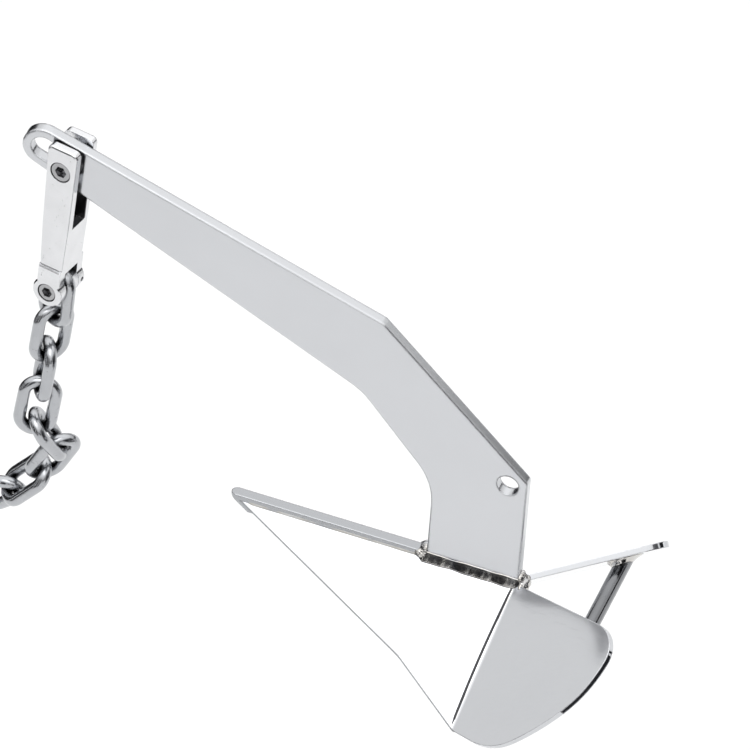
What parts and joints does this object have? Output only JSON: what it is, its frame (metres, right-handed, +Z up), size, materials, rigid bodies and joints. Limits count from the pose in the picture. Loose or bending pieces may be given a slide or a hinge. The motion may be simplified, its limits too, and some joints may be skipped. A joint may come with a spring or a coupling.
{
  "type": "boat anchor",
  "caption": "Fixed-shank delta plough anchor in polished stainless steel, with a twin-fork connector pinned in its slotted eye and a short hanging run of chain.",
  "frame": {"origin": "centre of the trip-line hole in the heel of the shank, half way through the plate", "axes": "+Z up as the anchor hangs level, +X aft from the toe of the fluke to the wings, +Y to starboard along the axis of the trip-line hole"},
  "size_m": [0.5676, 0.2428, 0.4319],
  "materials": {
    "plate": "polished stainless steel plate, soft satin reflections",
    "fluke_plate": "polished stainless steel sheet, bent cold",
    "bar": "polished stainless steel round bar",
    "weld": "weld bead, dressed and polished",
    "connector": "polished stainless steel forging",
    "fastener": "stainless steel, socket head",
    "chain": "polished stainless steel wire, welded links",
    "ballast": "cast ballast, sealed inside the toe"
  },
  "bodies": {
    "anchor": {"shank": "plate", "spine_bar": "plate", "left_fluke": "fluke_plate", "right_fluke": "fluke_plate", "toe_ballast": "ballast", "toe_cover": "plate", "cross_brace": "bar", "brace_welds": "weld", "ridge_welds": "weld", "shank_foot_weld": "weld"},
    "connector": {"connector_body": "connector", "anchor_pin": "fastener", "chain_pin": "fastener", "anchor_pin_lock_screw": "fastener", "chain_pin_lock_screw": "fastener"},
    "link_1": {"chain_link_1": "chain"},
    "link_2": {"chain_link_2": "chain"},
    "link_3": {"chain_link_3": "chain"},
    "link_4": {"chain_link_4": "chain"},
    "link_5": {"chain_link_5": "chain"},
    "link_6": {"chain_link_6": "chain"},
    "link_7": {"chain_link_7": "chain"},
    "link_8": {"chain_link_8": "chain"}
  },
  "joints": [
    {"name": "connector_swing", "type": "hinge", "parent": "anchor", "child": "connector", "pos_m": [-0.35838, 0, 0.22517], "axis": [0, 1, 0], "range_deg": [-25, 250]},
    {"name": "link_1_hinge", "type": "hinge", "parent": "connector", "child": "link_1", "pos_m": [-0.36978, 0, 0.10672], "axis": [0.2239, 0.9744, -0.0216], "range_deg": [-35, 30]},
    {"name": "link_2_hinge", "type": "hinge", "parent": "link_1", "child": "link_2", "pos_m": [-0.37376, -0.00002, 0.06893], "axis": [-0.8781, 0.4695, 0.0923], "range_deg": [-32, 16]},
    {"name": "link_3_hinge", "type": "hinge", "parent": "link_2", "child": "link_3", "pos_m": [-0.38008, 0.00034, 0.03145], "axis": [0.6861, 0.7193, -0.1087], "range_deg": [-22, 22]},
    {"name": "link_4_hinge", "type": "hinge", "parent": "link_3", "child": "link_4", "pos_m": [-0.38602, 0.00034, -0.00609], "axis": [0.4938, -0.866, -0.0782], "range_deg": [-32, 36]},
    {"name": "link_5_hinge", "type": "hinge", "parent": "link_4", "child": "link_5", "pos_m": [-0.39265, 0.00043, -0.0435], "axis": [-0.9467, -0.2756, 0.1669], "range_deg": [-45, 8]},
    {"name": "link_6_hinge", "type": "hinge", "parent": "link_5", "child": "link_6", "pos_m": [-0.37784, 0.0216, -0.07414], "axis": [-0.4686, 0.8163, 0.3377], "range_deg": [-45, 45]},
    {"name": "link_7_hinge", "type": "hinge", "parent": "link_6", "child": "link_7", "pos_m": [-0.39655, 0.02514, -0.10703], "axis": [0.663, 0.6843, -0.3036], "range_deg": [-18, 45]},
    {"name": "link_8_hinge", "type": "hinge", "parent": "link_7", "child": "link_8", "pos_m": [-0.42419, 0.0268, -0.13343], "axis": [0.3262, -0.8585, -0.3956], "range_deg": [-25, 45]}
  ]
}
